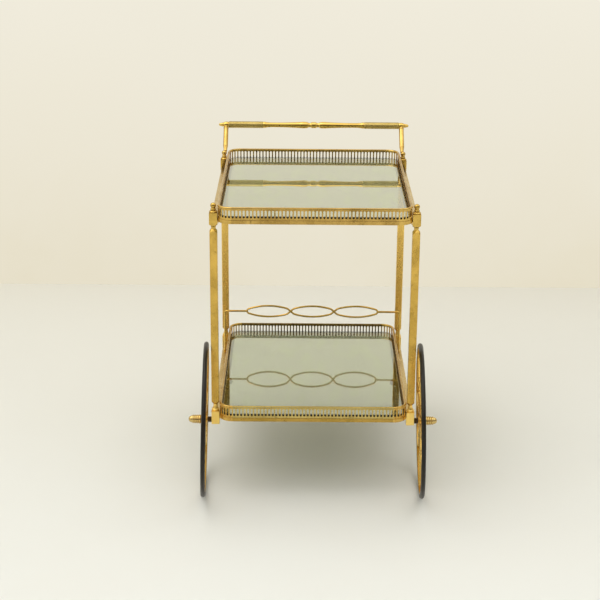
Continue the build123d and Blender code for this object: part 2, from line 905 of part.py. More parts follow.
def wheel_spokes(wheel):
    """Turned spokes, thickened at both ends and by a group of beads half way."""
    inner = hub_radius - spoke_seat
    outer = rim_inner_radius + spoke_seat
    middle = (hub_radius + rim_inner_radius) / 2
    small_bead = 3.6
    small_reach, large_reach = 17.0, 9.0
    cup_start, cup_end = rim_inner_radius - 9.0, rim_inner_radius - 4.0
    with BuildPart() as piece:
        for k in range(spoke_count):
            plane = section_plane(wheel, 360.0 / spoke_count * k)
            with BuildSketch(plane):
                with BuildLine():
                    last = Polyline(
                        (inner, 0), (inner, spoke_end_radius), (hub_radius + 6.0, spoke_end_radius)
                    )
                    last = ThreePointArc(
                        last @ 1, (hub_radius + 9.0, 2.9), (hub_radius + 14.0, spoke_radius)
                    )
                    last = Line(last @ 1, (middle - small_reach, spoke_radius))
                    last = ThreePointArc(
                        last @ 1, (middle - 13.0, small_bead), (middle - large_reach, spoke_radius)
                    )
                    last = ThreePointArc(
                        last @ 1, (middle, spoke_bead_radius), (middle + large_reach, spoke_radius)
                    )
                    last = ThreePointArc(
                        last @ 1, (middle + 13.0, small_bead), (middle + small_reach, spoke_radius)
                    )
                    last = Line(last @ 1, (cup_start, spoke_radius))
                    last = ThreePointArc(
                        last @ 1, ((cup_start + cup_end) / 2, 3.5), (cup_end, spoke_radius)
                    )
                    Polyline(
                        last @ 1, (rim_inner_radius - 2.5, spoke_end_radius), (outer, spoke_end_radius),
                        (outer, 0), (inner, 0),
                    )
                make_face()
            revolve(axis=Axis(plane.origin, plane.x_dir))
        with BuildSketch(wheel.offset(-spoke_bead_radius - 1)):
            Circle(rim_inner_radius)
            Circle(hub_radius, mode=Mode.SUBTRACT)
        extrude(amount=2 * (spoke_bead_radius + 1), mode=Mode.INTERSECT)
    return piece


def wheel_rim(wheel):
    with BuildPart() as piece:
        with BuildSketch(section_plane(wheel)):
            with Locations(((rim_inner_radius + rim_outer_radius) / 2, 0)):
                RectangleRounded(rim_outer_radius - rim_inner_radius, wheel_rim_width, wheel_rim_round)
        revolve(axis=Axis(wheel.origin, wheel.z_dir))
    return piece


def wheel_tyre(wheel):
    half = tyre_width / 2
    with BuildPart() as piece:
        with BuildSketch(section_plane(wheel)):
            with BuildLine():
                inner = Polyline(
                    (tread_centre, -half), (tyre_inner_radius, -half),
                    (tyre_inner_radius, half), (tread_centre, half),
                )
                ThreePointArc(inner @ 1, (wheel_radius, 0), inner @ 0)
            make_face()
        revolve(axis=Axis(wheel.origin, wheel.z_dir))
    return piece


for side, sx in sides.items():
    wheel = wheel_plane(sx)
    save(stub_axle(wheel), f"axle_{side}")
    save(wheel_hub(wheel), f"{side}_wheel_hub")
    save(wheel_spokes(wheel), f"{side}_wheel_spokes")
    save(wheel_rim(wheel), f"{side}_wheel_rim")
    save(wheel_tyre(wheel), f"{side}_wheel_tyre")

save(grouped([ribbed_spacer(wheel_plane(sx)) for sx in sides.values()]), "axle_spacers")
save(grouped([ring_cap(wheel_plane(sx)) for sx in sides.values()]), "hub_caps")


# Casters

def caster_socket(x):
    """Ringed collar at the foot of a far leg, with a plug that fills the column above it."""
    plug = column_width / 2 - column_wall - 0.1
    stem_room = stem_top + 3.0
    groove = socket_radius - 0.9
    ring_pitch = 5.6
    neck = socket_radius - 1.3
    with BuildPart() as piece:
        with BuildSketch(upright(x, far_y)):
            with BuildLine():
                last = Line((stem_bore, socket_bottom), (groove, socket_bottom))
                for ring in range(3):
                    low = socket_bottom + ring * ring_pitch
                    last = ThreePointArc(
                        last @ 1, (socket_radius, low + ring_pitch / 2), (groove, low + ring_pitch)
                    )
                low += ring_pitch
                last = ThreePointArc(
                    last @ 1, (neck, (low + foot_column_bottom) / 2), (groove, foot_column_bottom)
                )
                Polyline(
                    last @ 1, (plug, foot_column_bottom), (plug, socket_plug_top),
                    (rod_bore, socket_plug_top), (rod_bore, stem_room), (stem_bore, stem_room),
                    (stem_bore, socket_bottom),
                )
            make_face()
        revolve(axis=axis_up(x, far_y))
    return piece.part


save(grouped([caster_socket(sx * leg_x) for sx in sides.values()]), "caster_sockets")


wheel_line = far_y - caster_trail


def caster_fork(x):
    """Swivel stem, pressed bell and two arms that carry the wheel's pin."""
    bell_top = 8.0
    bell_foot = fork_top - fork_bell_height
    bell_lip = fork_bell_radius - fork_thickness
    bell_under = fork_top - 2.2
    arm_end_radius = 6.0
    arm_root_half = 9.0
    arm_root = fork_top - 2.0
    with BuildPart() as piece:
        with BuildSketch(Plane((x, far_y, bell_under))):
            Circle(stem_radius)
        extrude(amount=stem_top - bell_under)
        with BuildSketch(upright(x, far_y)):
            with BuildLine():
                top = Line((0, fork_top), (bell_top, fork_top))
                bell = ThreePointArc(top @ 1, (13.6, fork_top - 3.0), (fork_bell_radius, bell_foot + 1.6))
                lip = Polyline(bell @ 1, (fork_bell_radius, bell_foot), (bell_lip, bell_foot))
                inside = ThreePointArc(lip @ 1, (12.2, bell_under - 2.8), (bell_top - 1.5, bell_under))
                Polyline(inside @ 1, (0, bell_under), (0, fork_top))
            make_face()
        revolve(axis=axis_up(x, far_y))
        for sx in sides.values():
            start = x + sx * fork_inner_half
            with BuildSketch(Plane(origin=(start, 0, 0), x_dir=(0, sx, 0), z_dir=(sx, 0, 0))):
                with Locations((sx * wheel_line, caster_wheel_radius)):
                    Circle(arm_end_radius)
                with Locations((sx * far_y, arm_root - 0.5)):
                    Rectangle(2 * arm_root_half, 1.0)
                make_hull()
                with Locations((sx * wheel_line, caster_wheel_radius)):
                    Circle(caster_pin_radius, mode=Mode.SUBTRACT)
            extrude(amount=fork_thickness)
    return piece


def caster_wheel(x):
    """Rubber wheel with a dished web and a short hub."""
    half = caster_wheel_width / 2
    hub_half = half + 0.4
    crown = 3.6
    crown_cut = crown * (1 - sqrt(0.5))
    web_half = half - 1.4
    web_outer, web_inner, hub_outer = 21.0, 9.0, 7.5
    corner_at = caster_wheel_radius - crown
    section = Plane(origin=(x, wheel_line, caster_wheel_radius), x_dir=(0, 0, 1), z_dir=(0, 1, 0))
    with BuildPart() as piece:
        with BuildSketch(section):
            with BuildLine():
                tread = Line((caster_wheel_radius, 0), (caster_wheel_radius, half - crown))
                shoulder = ThreePointArc(
                    tread @ 1, (caster_wheel_radius - crown_cut, half - crown_cut), (corner_at, half)
                )
                Polyline(
                    shoulder @ 1, (web_outer + 1.5, half), (web_outer, web_half), (web_inner, web_half),
                    (hub_outer, hub_half), (caster_bore, hub_half), (caster_bore, 0), tread @ 0,
                )
            make_face()
            mirror(about=Plane.XZ)
        revolve(axis=Axis((x, wheel_line, caster_wheel_radius), (1, 0, 0)))
    return piece


def caster_pin(x):
    half = fork_inner_half + fork_thickness
    with BuildPart() as piece:
        with BuildSketch(Plane((x - half, wheel_line, caster_wheel_radius), z_dir=(1, 0, 0))):
            Circle(caster_pin_radius)
        extrude(amount=2 * half)
        for sx in sides.values():
            with BuildSketch(Plane((x + sx * half, wheel_line, caster_wheel_radius), z_dir=(sx, 0, 0))):
                Circle(pin_head_radius)
            extrude(amount=pin_head_height, taper=20)
    return piece


for side, sx in sides.items():
    save(caster_fork(sx * leg_x), f"{side}_caster_fork")
    save(caster_wheel(sx * leg_x), f"{side}_caster_wheel")
    save(caster_pin(sx * leg_x), f"{side}_caster_pin")
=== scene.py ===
from math import cos, pi, radians, sin

import bmesh
import bpy
from mathutils import Matrix, Vector


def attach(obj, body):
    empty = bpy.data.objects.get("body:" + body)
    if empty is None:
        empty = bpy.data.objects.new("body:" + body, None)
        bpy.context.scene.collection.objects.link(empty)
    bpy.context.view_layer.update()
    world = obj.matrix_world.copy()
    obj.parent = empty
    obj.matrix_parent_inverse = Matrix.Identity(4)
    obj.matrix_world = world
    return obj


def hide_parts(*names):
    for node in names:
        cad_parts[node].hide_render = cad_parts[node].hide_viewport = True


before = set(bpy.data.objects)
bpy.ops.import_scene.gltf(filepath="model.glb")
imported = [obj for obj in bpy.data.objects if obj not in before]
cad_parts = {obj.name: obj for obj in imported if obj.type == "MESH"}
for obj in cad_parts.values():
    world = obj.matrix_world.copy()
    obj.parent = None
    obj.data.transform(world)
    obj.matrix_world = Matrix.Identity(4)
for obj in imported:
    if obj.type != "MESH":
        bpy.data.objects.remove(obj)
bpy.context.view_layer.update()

mm = 0.001

# Sizes shared with the solid model, in metres

middle_y = 54.62 * mm
leg_span = 474.0 * mm
near_y = middle_y - leg_span / 2
wheel_x = 240.5 * mm
wheel_radius = 172.5 * mm
tyre_width = 10.0 * mm
wheel_lean = radians(1.6)
wheel_toe = radians(2.1)
hub_radius = 13.0 * mm
rim_inner_radius = 160.7 * mm
spoke_count = 8
handle_behind = 55.0 * mm
handle_y = middle_y + leg_span / 2 + handle_behind
handle_z = 722.7 * mm
grip_inner = 123.0 * mm
grip_outer = 207.3 * mm
grip_radius = 8.15 * mm
core_bore = 3.05 * mm
tray_x = 207.15 * mm
tray_y = 268.5 * mm
glass_inset = 4.0 * mm
glass_half_x = tray_x - glass_inset
glass_half_y = tray_y - glass_inset
glass_corner = 26.0 * mm
glass_thickness = 5.0 * mm
glass_tops = {"upper": 649.2 * mm, "lower": 197.2 * mm}


# Materials

class Look:
    """A node material with one principled shader, built step by step."""

    def __init__(self, name, **settings):
        self.material = bpy.data.materials.new(name)
        self.material.use_nodes = True
        self.nodes = self.material.node_tree.nodes
        self.links = self.material.node_tree.links
        self.nodes.clear()
        self.shader = self.nodes.new("ShaderNodeBsdfPrincipled")
        self.output = self.nodes.new("ShaderNodeOutputMaterial")
        self.links.new(self.shader.outputs["BSDF"], self.output.inputs["Surface"])
        self.place = self.nodes.new("ShaderNodeTexCoord").outputs["Object"]
        for socket, value in settings.items():
            self.shader.inputs[socket.replace("_", " ")].default_value = value

    def drive(self, socket, source):
        self.links.new(source, self.shader.inputs[socket])

    def noise(self, scale, detail=3.0, roughness=0.55, stretch=(1, 1, 1), shift=0.0):
        mapping = self.nodes.new("ShaderNodeMapping")
        mapping.inputs["Scale"].default_value = stretch
        mapping.inputs["Location"].default_value = (shift, shift, shift)
        self.links.new(self.place, mapping.inputs["Vector"])
        node = self.nodes.new("ShaderNodeTexNoise")
        node.inputs["Scale"].default_value = scale
        node.inputs["Detail"].default_value = detail
        node.inputs["Roughness"].default_value = roughness
        self.links.new(mapping.outputs["Vector"], node.inputs["Vector"])
        return node.outputs["Fac"]

    def along(self, axis):
        split = self.nodes.new("ShaderNodeSeparateXYZ")
        self.links.new(self.place, split.inputs["Vector"])
        return split.outputs[axis]

    def spread(self, source, low, high, out_low=0.0, out_high=1.0):
        """Maps low..high of the source to out_low..out_high and stops at both ends."""
        node = self.nodes.new("ShaderNodeMapRange")
        node.inputs["From Min"].default_value = low
        node.inputs["From Max"].default_value = high
        node.inputs["To Min"].default_value = out_low
        node.inputs["To Max"].default_value = out_high
        self.links.new(source, node.inputs["Value"])
        return node.outputs["Result"]

    def compute(self, operation, first, second):
        node = self.nodes.new("ShaderNodeMath")
        node.operation = operation
        for socket, value in zip(node.inputs, (first, second)):
            if isinstance(value, (int, float)):
                socket.default_value = value
            else:
                self.links.new(value, socket)
        return node.outputs["Value"]

    def mix(self, amount, first, second):
        """Blends two colours, by socket numbers, as each kind of value has sockets of the same names."""
        first_colour = 6
        second_colour = 7
        mixed_colour = 2
        node = self.nodes.new("ShaderNodeMix")
        node.data_type = "RGBA"
        self.links.new(amount, node.inputs["Factor"])
        for socket, value in ((first_colour, first), (second_colour, second)):
            if isinstance(value, tuple):
                node.inputs[socket].default_value = (*value, 1.0)
            else:
                self.links.new(value, node.inputs[socket])
        return node.outputs[mixed_colour]

    def blend(self, amount, first, second):
        """Blends two shaders, whose sockets share one name, so they go by number too."""
        node = self.nodes.new("ShaderNodeMixShader")
        self.links.new(amount, node.inputs["Fac"])
        self.links.new(first, node.inputs[1])
        self.links.new(second, node.inputs[2])
        return node.outputs["Shader"]

    def bump(self, source, distance, strength=1.0, under=None):
        node = self.nodes.new("ShaderNodeBump")
        node.inputs["Strength"].default_value = strength
        node.inputs["Distance"].default_value = distance
        self.links.new(source, node.inputs["Height"])
        if under is not None:
            self.links.new(under, node.inputs["Normal"])
        self.links.new(node.outputs["Normal"], self.shader.inputs["Normal"])
        return node.outputs["Normal"]

    def two_tone(self, pattern, first, second, rough):
        """Blends two colours in clouds, which change the roughness too."""
        clouds = self.spread(pattern, 0.4, 0.7)
        self.drive("Base Color", self.mix(clouds, first, second))
        self.drive("Roughness", self.spread(clouds, 0, 1, *rough))


# Brass, with scratches drawn out along an axis, or round it on a turned piece

brushed_x = (0.02, 1, 1)
brushed_y = (1, 0.02, 1)
brushed_z = (1, 1, 0.02)
turned_x = (1, 0.05, 0.05)
cloud_scale = 22.0
dent_scale = 60.0
tarnish_scale = 95.0
pit_scale = 420.0
scratch_scale = 900.0
tarnish_shade = 0.45
tarnish_roughness = 0.5
pit_colour = (0.05, 0.03, 0.012)
pit_strength = 0.5
scratch_roughness = 0.04
least_roughness = 0.07
dent_depth = 0.6 * mm
dent_strength = 0.1
scratch_depth = 0.04 * mm
scratch_strength = 0.5


def brass(name, bright, dull, brush=(1, 1, 1), rough=(0.16, 0.3), tarnish=0.35):
    """Aged brass: two tones in clouds, brown tarnish, dark spots and fine brushing."""
    look = Look(name, Metallic=1.0)
    clouds = look.spread(look.noise(cloud_scale, detail=4.0, roughness=0.6), 0.35, 0.65)
    tone = look.mix(clouds, bright, dull)
    patches = look.noise(tarnish_scale, detail=5.0, roughness=0.7, shift=3.1)
    patches = look.spread(patches, 0.56, 0.78, 0.0, tarnish)
    tone = look.mix(patches, tone, tuple(tarnish_shade * v for v in dull))
    pits = look.noise(pit_scale, detail=2.0, roughness=0.5, shift=7.7)
    pits = look.spread(pits, 0.72, 0.80, 0.0, pit_strength)
    look.drive("Base Color", look.mix(pits, tone, pit_colour))
    scratches = look.noise(scratch_scale, detail=3.0, roughness=0.7, stretch=brush)
    wear = look.spread(scratches, 0.3, 0.7, -scratch_roughness, scratch_roughness)
    wear = look.compute("ADD", wear, look.spread(clouds, 0, 1, *rough))
    wear = look.compute("ADD", wear, look.compute("MULTIPLY", patches, tarnish_roughness))
    look.drive("Roughness", look.compute("MAXIMUM", wear, least_roughness))
    dents = look.noise(dent_scale, detail=2.0, roughness=0.5, shift=1.3)
    dents = look.bump(dents, dent_depth, dent_strength)
    look.bump(scratches, scratch_depth, scratch_strength, under=dents)
    return look


looks = {
    "column": brass("column_brass", (0.66, 0.425, 0.095), (0.53, 0.335, 0.068), brushed_z),
    # Lighter copy of the column brass for the far columns and feet: painted light, brightening them
    # where they mirror the shaded floor under the cart.
    "far_column_painted_light": brass("painted_light_far_brass", (0.84, 0.57, 0.15), (0.74, 0.49, 0.12), brushed_z),
    "block": brass("block_brass", (0.62, 0.41, 0.095), (0.50, 0.32, 0.07), rough=(0.12, 0.24)),
    # Lighter copy of the block brass for the lower blocks: painted light, making them brighter than the
    # upper blocks of the same brass.
    "low_block_painted_light": brass(
        "painted_light_block_brass", (0.98, 0.72, 0.23), (0.92, 0.65, 0.18), rough=(0.28, 0.40), tarnish=0.15
    ),
    "end_rail": brass(
        "end_rail_brass", (0.58, 0.38, 0.11), (0.42, 0.26, 0.065), brushed_x, tarnish=0.6
    ),
    # Darker copy of the end rail brass for the lower end rails: painted shade, standing in for the
    # shaded floor that their lower front edge mirrors.
    "low_rail_painted_shade": brass(
        "painted_shade_rail_brass", (0.50, 0.32, 0.075), (0.39, 0.25, 0.05), brushed_x, tarnish=0.6
    ),
    "low_gallery": brass(
        "low_gallery_brass", (0.56, 0.43, 0.15), (0.46, 0.34, 0.11), brushed_x, tarnish=0.5
    ),
    # Much darker copy of the rail brass for the lower far gallery: painted shade, making it far darker
    # than the other brass.
    "low_far_painted_shade": brass(
        "painted_shade_far_brass", (0.30, 0.20, 0.06), (0.22, 0.14, 0.04), brushed_x, tarnish=0.6
    ),
    "bar": brass("bar_brass", (0.74, 0.57, 0.27), (0.62, 0.45, 0.18), brushed_y, (0.22, 0.34)),
    "side_rail": brass("side_rail_brass", (0.62, 0.42, 0.14), (0.50, 0.32, 0.09), brushed_y),
    "corner": brass("corner_brass", (0.72, 0.48, 0.13), (0.56, 0.35, 0.085), rough=(0.14, 0.3)),
    "handle": brass(
        "handle_brass", (0.82, 0.56, 0.15), (0.72, 0.47, 0.11), rough=(0.06, 0.16), tarnish=0.2
    ),
    "arm": brass(
        "arm_brass", (0.66, 0.44, 0.12), (0.50, 0.32, 0.08), rough=(0.08, 0.18), tarnish=0.3
    ),
    "grip": brass("grip_brass", (0.58, 0.44, 0.15), (0.48, 0.35, 0.10), turned_x, (0.3, 0.42)),
    "wheel": brass("wheel_brass", (0.80, 0.54, 0.15), (0.68, 0.43, 0.10), rough=(0.12, 0.26)),
    "cap": brass(
        "cap_brass", (0.70, 0.52, 0.21), (0.54, 0.37, 0.12), rough=(0.10, 0.2), tarnish=0.5
    ),
    "wire": brass("wire_brass", (0.76, 0.50, 0.13), (0.64, 0.41, 0.09), rough=(0.12, 0.26)),
}


def rubber(name, colour, worn, rough, shine):
    """Rubber with worn clouds and dust."""
    look = Look(name, Specular_IOR_Level=shine)
    clouds = look.spread(look.noise(40.0, detail=5.0, roughness=0.65), 0.4, 0.7)
    dust = look.noise(300.0, detail=4.0, roughness=0.7, shift=2.0)
    dust = look.spread(dust, 0.5, 0.8, 0.0, 0.6)
    look.drive("Base Color", look.mix(dust, look.mix(clouds, colour, worn), worn))
    look.drive("Roughness", look.spread(clouds, 0, 1, *rough))
    look.bump(look.noise(700.0, detail=3.0, roughness=0.6), distance=0.08 * mm, strength=0.6)
    return look


looks["tyre"] = rubber(
    "tyre_rubber", (0.006, 0.004, 0.002), (0.018, 0.013, 0.006), rough=(0.30, 0.45), shine=0.3
)
looks["caster"] = rubber(
    "caster_rubber", (0.20, 0.19, 0.175), (0.30, 0.29, 0.27), rough=(0.55, 0.70), shine=0.5
)


def dark_metal(name):
    """Dark brown forks and spacers, a little rusty."""
    look = Look(name, Metallic=0.6)
    pattern = look.noise(60.0, detail=5.0, roughness=0.7)
    look.two_tone(pattern, (0.05, 0.035, 0.022), (0.15, 0.095, 0.045), rough=(0.35, 0.55))
    look.bump(look.noise(500.0, detail=3.0, roughness=0.6), distance=0.08 * mm, strength=0.5)
    return look


looks["dark"] = dark_metal("dark_metal")


def steel(name):
    """Plain steel, slightly yellowed, with marks along the z axis."""
    look = Look(name, Metallic=1.0)
    pattern = look.noise(80.0, detail=4.0, roughness=0.6)
    look.two_tone(pattern, (0.46, 0.45, 0.43), (0.34, 0.31, 0.27), rough=(0.25, 0.45))
    marks = look.noise(800.0, detail=2.0, roughness=0.6, stretch=(1, 1, 0.05))
    look.bump(marks, distance=0.04 * mm, strength=0.5)
    return look


looks["steel"] = steel("rod_steel")


def smoked_glass(name, clear, hazy):
    """Grey-green tinted plate that lets some light through and mirrors what stands on it."""
    look = Look(name, IOR=1.8, Coat_Weight=1.0, Coat_Roughness=0.02, Coat_IOR=1.9)
    look.shader.inputs["Transmission Weight"].default_value = 1.0
    look.shader.inputs["Specular Tint"].default_value = (0.90, 0.95, 0.80, 1.0)
    look.shader.inputs["Coat Tint"].default_value = (0.92, 0.95, 0.86, 1.0)
    haze = look.spread(look.noise(9.0, detail=4.0, roughness=0.6), 0.35, 0.7)
    look.drive("Base Color", look.mix(haze, clear, hazy))
    smears = look.noise(30.0, detail=5.0, roughness=0.75, stretch=(1, 0.3, 1), shift=5.0)
    look.drive("Roughness", look.spread(smears, 0.5, 0.8, 0.0, 0.03))
    look.bump(look.noise(7.0, detail=1.0, roughness=0.4), distance=0.2 * mm, strength=0.1)
    return look


def glass_edge(name):
    """Ground edge of the plate, which looks nearly black because no light comes out of it."""
    look = Look(name, IOR=1.5)
    pattern = look.noise(50.0, detail=4.0, roughness=0.6)
    look.two_tone(pattern, (0.012, 0.014, 0.007), (0.030, 0.034, 0.018), rough=(0.3, 0.5))
    marks = look.noise(900.0, detail=3.0, roughness=0.6, stretch=(1, 1, 0.1))
    look.bump(marks, distance=0.05 * mm, strength=0.5)
    return look


looks["upper_glass"] = smoked_glass("smoked_glass", (0.58, 0.58, 0.47), (0.54, 0.55, 0.44))
looks["lower_glass"] = smoked_glass("low_smoked_glass", (0.54, 0.55, 0.46), (0.49, 0.51, 0.42))
looks["glass_edge"] = glass_edge("glass_edge")


# Looks of the solid model's nodes

levels = ("upper", "lower")
ends = ("near", "far")
sides = {"left": -1, "right": 1}
corner_posts = [f"{end}_{side}" for end in ends for side in sides]
side_pieces = ("side_rails", "left_gallery", "right_gallery")
nodes_by_look = {
    "column": [f"column_near_{side}" for side in sides],
    "far_column_painted_light": ["far_foot_columns"] + [f"column_far_{side}" for side in sides],
    "block": ["near_finials", "caster_sockets"] + [f"upper_block_{post}" for post in corner_posts],
    "low_block_painted_light": [f"lower_block_{post}" for post in corner_posts],
    "end_rail": ["upper_end_rails", "upper_near_gallery", "upper_far_gallery"],
    "low_rail_painted_shade": ["lower_end_rails"],
    "low_gallery": ["lower_near_gallery"],
    "low_far_painted_shade": ["lower_far_gallery"],
    "side_rail": [f"{level}_{piece}" for level in levels for piece in side_pieces],
    "bar": ["side_bars"],
    "corner": [f"{level}_corners" for level in levels],
    "handle": ["handle_end_knobs", "handle_centre"],
    "arm": ["handle_arms", "handle_sockets"],
    "grip": ["handle_grips"],
    "wire": ["bottle_rail", "rail_ferrules"],
    "cap": ["hub_caps"],
    "wheel": [f"{side}_wheel_{piece}" for side in sides for piece in ("hub", "spokes", "rim")],
    "tyre": [f"{side}_wheel_tyre" for side in sides],
    "caster": [f"{side}_caster_wheel" for side in sides],
    "dark": ["axle_spacers"] + [f"{side}_caster_fork" for side in sides],
    "steel": ["tie_rods", "tray_screws", "handle_core"]
    + [f"axle_{side}" for side in sides] + [f"{side}_caster_pin" for side in sides],
    "upper_glass": ["upper_glass"],
    "lower_glass": ["lower_glass"],
}
for look_name, node_names in nodes_by_look.items():
    for node_name in node_names:
        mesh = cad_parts[node_name].data
        mesh.materials.clear()
        mesh.materials.append(looks[look_name].material)


# Pieces

def add_piece(name, shape, body, look_names, replaced, smooth_angle=35.0):
    """Makes an object of a bmesh, gives it its looks and hands it to its body."""
    mesh = bpy.data.meshes.new(name)
    bmesh.ops.recalc_face_normals(shape, faces=shape.faces)
    shape.to_mesh(mesh)
    shape.free()
    mesh.shade_smooth()
    mesh.set_sharp_from_angle(angle=radians(smooth_angle))
    for look_name in look_names:
        mesh.materials.append(looks[look_name].material)
    piece = bpy.data.objects.new(name, mesh)
    bpy.context.scene.collection.objects.link(piece)
    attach(piece, body)
    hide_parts(*replaced)


def lathe(shape, profile, place, facets=40):
    """Adds a closed profile of (along, radius) points, turned about the z axis of place."""
    rings = []
    for k in range(facets):
        angle = 2 * pi * k / facets
        ring = [shape.verts.new(place @ Vector((r * cos(angle), r * sin(angle), z))) for z, r in profile]
        rings.append(ring)
    for k, ring in enumerate(rings):
        following = rings[(k + 1) % facets]
        for i in range(len(profile)):
            j = (i + 1) % len(profile)
            shape.faces.new((ring[i], ring[j], following[j], following[i]))


def axis_place(origin, direction):
    """Matrix that puts its z axis on direction at origin."""
    return Matrix.Translation(origin) @ direction.to_track_quat("Z", "Y").to_matrix().to_4x4()


def wave(start, end, count, low, high, steps=6):
    """Points of count round ribs between start and end, from radius low up to high."""
    fullness = 0.7
    points = []
    pitch = (end - start) / count
    for k in range(count * steps + 1):
        part = k / steps % 1.0
        points.append((start + pitch * k / steps, low + (high - low) * sin(pi * part) ** fullness))
    return points


# Grips with fine ribs

def ribbed_grips():
    """Both grips, each with a bore for the core of the handle."""
    rib_count = 52
    rib_depth = 0.35 * mm
    rib_steps = 4
    grip_edge = 0.9 * mm
    face = grip_radius - grip_edge
    low = grip_radius - rib_depth
    ribs = wave(grip_inner + grip_edge, grip_outer - grip_edge, rib_count, low, grip_radius, rib_steps)
    profile = [(grip_inner, core_bore), (grip_inner, face)] + ribs
    profile += [(grip_outer, face), (grip_outer, core_bore)]
    shape = bmesh.new()
    for sx in sides.values():
        lathe(shape, profile, axis_place(Vector((0, handle_y, handle_z)), Vector((sx, 0, 0))))
    return shape


add_piece("ribbed_grips", ribbed_grips(), "frame", ["grip"], ["handle_grips"])


# Turned spokes

def spoke_profile():
    """Foot, taper, a group of beads half way, a taper and three collars at the rim."""
    bore = 0.915 * mm
    foot = 3.9 * mm
    thin = 2.6 * mm
    belly = 3.1 * mm
    collar = 3.6 * mm
    small_bead = 3.5 * mm
    large_bead = 4.1 * mm
    bead_gap = 10.5 * mm
    small_beads = (13.0 * mm, 17.5 * mm)
    belly_reach = 30.0 * mm
    large_bead_steps = 12
    hub_end = hub_radius - 0.6 * mm
    rim_end = rim_inner_radius + 0.4 * mm
    middle = (hub_radius + rim_inner_radius) / 2
    points = [(hub_end, bore), (hub_end, foot), (hub_radius + 1.2 * mm, foot)]
    points += wave(hub_radius + 1.4 * mm, hub_radius + 6.0 * mm, 2, 3.0 * mm, collar)
    points += [(hub_radius + 7.5 * mm, 2.9 * mm), (hub_radius + 14.0 * mm, thin)]
    points += [(middle - belly_reach, belly), (middle - 18.0 * mm, thin)]
    points += wave(middle - small_beads[1], middle - small_beads[0], 2, thin, small_bead)
    points += [(middle - bead_gap, thin)]
    points += wave(middle - 9.0 * mm, middle + 9.0 * mm, 1, thin, large_bead, large_bead_steps)
    points += [(middle + bead_gap, thin)]
    points += wave(middle + small_beads[0], middle + small_beads[1], 2, thin, small_bead)
    points += [(middle + 18.0 * mm, thin), (middle + belly_reach, belly)]
    points += [(rim_inner_radius - 14.0 * mm, thin)]
    points += wave(rim_inner_radius - 10.5 * mm, rim_inner_radius - 3.0 * mm, 3, 2.8 * mm, collar)
    points += [(rim_inner_radius - 2.6 * mm, collar), (rim_end, collar), (rim_end, bore)]
    return points


def wheel_axes(sx):
    """Centre, axle direction and the two directions of the wheel's plane."""
    toe_out = sin(wheel_toe) * cos(wheel_lean)
    axle = Vector((sx * cos(wheel_toe) * cos(wheel_lean), -toe_out, sin(wheel_lean)))
    height = (wheel_radius - tyre_width / 2) * cos(wheel_lean) + tyre_width / 2
    across = Vector((0, 1, 0)) - axle * axle.y
    across.normalize()
    return Vector((sx * wheel_x, near_y, height)), axle, across, axle.cross(across)


def turned_spokes(sx):
    """The spokes of one wheel, evenly round its axle."""
    centre, axle, across, upward = wheel_axes(sx)
    profile = spoke_profile()
    facets = 24
    shape = bmesh.new()
    for k in range(spoke_count):
        turn = 2 * pi * k / spoke_count
        lathe(shape, profile, axis_place(centre, across * cos(turn) + upward * sin(turn)), facets)
    return shape


for side, sx in sides.items():
    add_piece(
        f"{side}_turned_spokes", turned_spokes(sx), f"{side}_wheel", ["wheel"],
        [f"{side}_wheel_spokes"],
    )


# Glass plates with rounded edges, which lie a hair above their ledges

lift = 0.12 * mm
edge_round = 1.3 * mm
edge_steps = 4
corner_steps = 12
plate_smooth_angle = 9.0
quarters = ((1, 1), (-1, 1), (-1, -1), (1, -1))


def plate_outline(inset, z):
    """Points round the plate at a height, drawn in by inset."""
    points = []
    radius = glass_corner - inset
    for corner, (side_x, side_y) in enumerate(quarters):
        for k in range(corner_steps + 1):
            angle = pi / 2 * (corner + k / corner_steps)
            x = side_x * (glass_half_x - glass_corner) + radius * cos(angle)
            y = middle_y + side_y * (glass_half_y - glass_corner) + radius * sin(angle)
            points.append((x, y, z))
    return points


def glass_plate(top):
    """Plate with a rounded upper and lower edge; its edge has the second look."""
    bottom = top - glass_thickness + lift
    falls = [pi / 2 * k / edge_steps for k in range(edge_steps + 1)]
    layers = [(edge_round * (1 - sin(fall)), top - edge_round * (1 - cos(fall))) for fall in falls]
    layers += [(edge_round * (1 - cos(fall)), bottom + edge_round * (1 - sin(fall))) for fall in falls]
    shape = bmesh.new()
    rings = [[shape.verts.new(point) for point in plate_outline(*layer)] for layer in layers]
    for high, low in zip(rings, rings[1:]):
        for i in range(len(high)):
            j = (i + 1) % len(high)
            edge = shape.faces.new((high[i], high[j], low[j], low[i]))
            edge.material_index = 1
    shape.faces.new(rings[0])
    shape.faces.new(rings[-1])
    return shape


for level, glass_top in glass_tops.items():
    add_piece(
        f"{level}_glass_plate", glass_plate(glass_top), "frame",
        [f"{level}_glass", "glass_edge"], [f"{level}_glass"], plate_smooth_angle,
    )


# Stage: a pale floor and a cream wall that is only there when seen from the front

wall_y = 1.265
wall_height = 4.0
stage_half_width = 6.0
floor_near = (0.74, 0.75, 0.71)
floor_far = (0.75, 0.74, 0.68)
floor_fade = (-0.9, 1.2)
wall_low = (0.79, 0.73, 0.57)
wall_high = (0.88, 0.84, 0.72)
wall_fade = (0.0, 0.9)


def flat_sheet(name, corners, look):
    """One flat face with these corners, which isn't part of the cart."""
    mesh = bpy.data.meshes.new(name)
    mesh.from_pydata(corners, [], [tuple(range(len(corners)))])
    mesh.materials.append(look.material)
    thing = bpy.data.objects.new(name, mesh)
    bpy.context.scene.collection.objects.link(thing)


def stage_look(name, first, second, axis, low, high):
    """Pale paint that turns slowly from the first colour to the second along an axis."""
    shade = 0.97
    look = Look(name, Roughness=0.8)
    tone = look.mix(look.spread(look.along(axis), low, high), first, second)
    clouds = look.spread(look.noise(1.3, detail=5.0, roughness=0.6), 0.35, 0.7, 0.0, 0.5)
    look.drive("Base Color", look.mix(clouds, tone, tuple(shade * v for v in second)))
    return look


